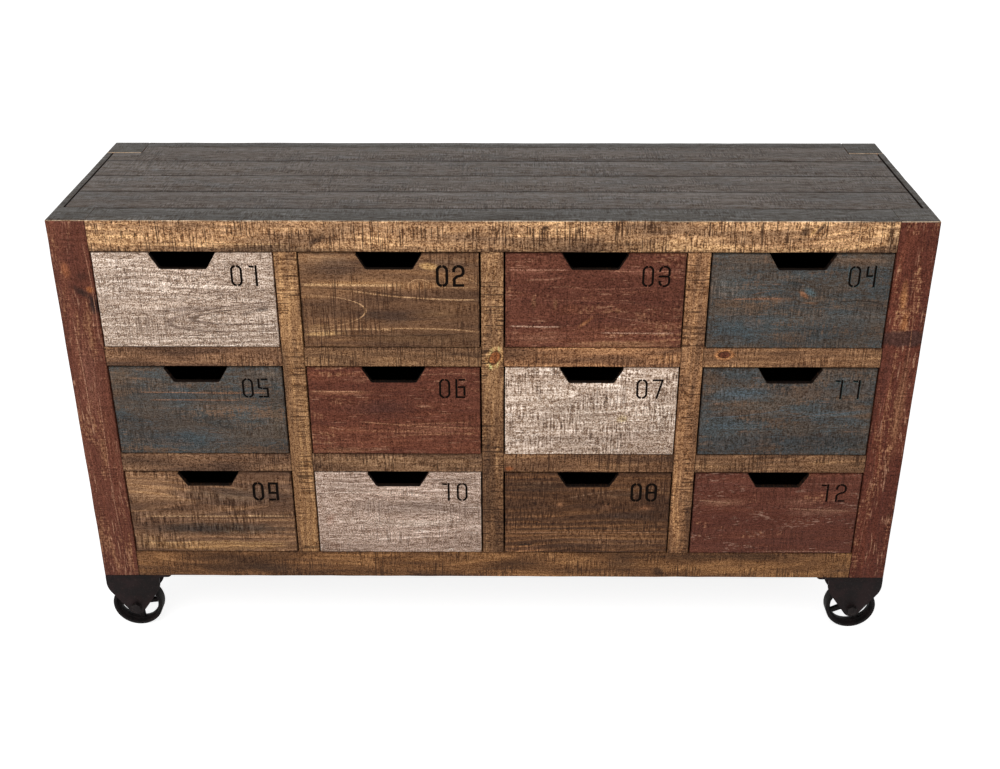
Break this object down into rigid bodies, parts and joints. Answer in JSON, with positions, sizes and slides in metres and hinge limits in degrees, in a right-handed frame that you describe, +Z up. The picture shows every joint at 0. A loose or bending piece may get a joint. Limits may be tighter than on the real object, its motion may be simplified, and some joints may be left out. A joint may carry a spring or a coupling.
{
  "type": "sideboard",
  "caption": "Floor-standing sideboard of reclaimed boards with numbered drawers in a post-and-rail frame, on fixed spoked casters.",
  "frame": {"origin": "on the floor, under the middle of the body", "axes": "+Z up, +X along the length to the right seen from the front, -Y towards the front, where the drawers open"},
  "size_m": [1.524, 0.464, 0.861],
  "materials": {
    "post_wood": "worn paint",
    "frame_wood": "rough sawn, unpainted",
    "top_wood": "worn grey wash",
    "side_wood": "rough sawn, worn paint",
    "inside_wood": "plain",
    "front_01": "whitewashed",
    "front_02": "brown stain",
    "front_03": "worn red paint",
    "front_04": "worn dark blue paint",
    "front_05": "worn blue grey paint",
    "front_06": "worn red paint",
    "front_07": "whitewashed",
    "front_11": "worn blue grey paint",
    "front_09": "yellow brown stain",
    "front_10": "whitewashed",
    "front_08": "dark brown stain",
    "front_12": "worn deep red paint",
    "cast_iron": "black paint",
    "dark_steel": "blackened"
  },
  "bodies": {
    "carcass": {"post_front_left": "post_wood", "post_front_right": "post_wood", "post_back_left": "post_wood", "post_back_right": "post_wood", "rail_front_top": "frame_wood", "rail_front_bottom": "frame_wood", "rail_back_top": "frame_wood", "rail_back_bottom": "frame_wood", "mullion_1": "frame_wood", "mullion_2": "frame_wood", "mullion_3": "frame_wood", "mid_rails_1": "frame_wood", "mid_rails_2": "frame_wood", "top_plank_1": "top_wood", "top_plank_2": "top_wood", "top_plank_3": "top_wood", "top_plank_4": "top_wood", "side_panel_left": "side_wood", "side_panel_right": "side_wood", "side_rails": "inside_wood", "back_panel": "inside_wood", "bottom_panel": "inside_wood", "partitions": "inside_wood", "drawer_runners": "inside_wood", "caster_bracket_front_left": "cast_iron", "caster_bracket_front_right": "cast_iron", "caster_bracket_back_left": "cast_iron", "caster_bracket_back_right": "cast_iron", "axle_bolts": "dark_steel", "axle_nuts": "dark_steel", "hub_washers": "dark_steel", "plate_screws": "dark_steel"},
    "drawer_r1_c1": {"drawer_front_r1_c1": "front_01", "drawer_box_r1_c1": "inside_wood"},
    "drawer_r1_c2": {"drawer_front_r1_c2": "front_02", "drawer_box_r1_c2": "inside_wood"},
    "drawer_r1_c3": {"drawer_front_r1_c3": "front_03", "drawer_box_r1_c3": "inside_wood"},
    "drawer_r1_c4": {"drawer_front_r1_c4": "front_04", "drawer_box_r1_c4": "inside_wood"},
    "drawer_r2_c1": {"drawer_front_r2_c1": "front_05", "drawer_box_r2_c1": "inside_wood"},
    "drawer_r2_c2": {"drawer_front_r2_c2": "front_06", "drawer_box_r2_c2": "inside_wood"},
    "drawer_r2_c3": {"drawer_front_r2_c3": "front_07", "drawer_box_r2_c3": "inside_wood"},
    "drawer_r2_c4": {"drawer_front_r2_c4": "front_11", "drawer_box_r2_c4": "inside_wood"},
    "drawer_r3_c1": {"drawer_front_r3_c1": "front_09", "drawer_box_r3_c1": "inside_wood"},
    "drawer_r3_c2": {"drawer_front_r3_c2": "front_10", "drawer_box_r3_c2": "inside_wood"},
    "drawer_r3_c3": {"drawer_front_r3_c3": "front_08", "drawer_box_r3_c3": "inside_wood"},
    "drawer_r3_c4": {"drawer_front_r3_c4": "front_12", "drawer_box_r3_c4": "inside_wood"},
    "wheel_front_left": {"caster_wheel_front_left": "cast_iron"},
    "wheel_front_right": {"caster_wheel_front_right": "cast_iron"},
    "wheel_back_left": {"caster_wheel_back_left": "cast_iron"},
    "wheel_back_right": {"caster_wheel_back_right": "cast_iron"}
  },
  "joints": [
    {"name": "slide_r1_c1", "type": "slide", "parent": "carcass", "child": "drawer_r1_c1", "axis": [0, -1, 0], "range_m": [0, 0.3]},
    {"name": "slide_r1_c2", "type": "slide", "parent": "carcass", "child": "drawer_r1_c2", "axis": [0, -1, 0], "range_m": [0, 0.3]},
    {"name": "slide_r1_c3", "type": "slide", "parent": "carcass", "child": "drawer_r1_c3", "axis": [0, -1, 0], "range_m": [0, 0.3]},
    {"name": "slide_r1_c4", "type": "slide", "parent": "carcass", "child": "drawer_r1_c4", "axis": [0, -1, 0], "range_m": [0, 0.3]},
    {"name": "slide_r2_c1", "type": "slide", "parent": "carcass", "child": "drawer_r2_c1", "axis": [0, -1, 0], "range_m": [0, 0.3]},
    {"name": "slide_r2_c2", "type": "slide", "parent": "carcass", "child": "drawer_r2_c2", "axis": [0, -1, 0], "range_m": [0, 0.3]},
    {"name": "slide_r2_c3", "type": "slide", "parent": "carcass", "child": "drawer_r2_c3", "axis": [0, -1, 0], "range_m": [0, 0.3]},
    {"name": "slide_r2_c4", "type": "slide", "parent": "carcass", "child": "drawer_r2_c4", "axis": [0, -1, 0], "range_m": [0, 0.3]},
    {"name": "slide_r3_c1", "type": "slide", "parent": "carcass", "child": "drawer_r3_c1", "axis": [0, -1, 0], "range_m": [0, 0.3]},
    {"name": "slide_r3_c2", "type": "slide", "parent": "carcass", "child": "drawer_r3_c2", "axis": [0, -1, 0], "range_m": [0, 0.3]},
    {"name": "slide_r3_c3", "type": "slide", "parent": "carcass", "child": "drawer_r3_c3", "axis": [0, -1, 0], "range_m": [0, 0.3]},
    {"name": "slide_r3_c4", "type": "slide", "parent": "carcass", "child": "drawer_r3_c4", "axis": [0, -1, 0], "range_m": [0, 0.3]},
    {"name": "roll_front_left", "type": "hinge", "parent": "carcass", "child": "wheel_front_left", "pos_m": [-0.7095, -0.2045, 0.0485], "axis": [0, 1, 0], "continuous": true},
    {"name": "roll_front_right", "type": "hinge", "parent": "carcass", "child": "wheel_front_right", "pos_m": [0.7095, -0.2045, 0.0485], "axis": [0, 1, 0], "continuous": true},
    {"name": "roll_back_left", "type": "hinge", "parent": "carcass", "child": "wheel_back_left", "pos_m": [-0.7095, 0.2045, 0.0485], "axis": [0, 1, 0], "continuous": true},
    {"name": "roll_back_right", "type": "hinge", "parent": "carcass", "child": "wheel_back_right", "pos_m": [0.7095, 0.2045, 0.0485], "axis": [0, 1, 0], "continuous": true}
  ]
}
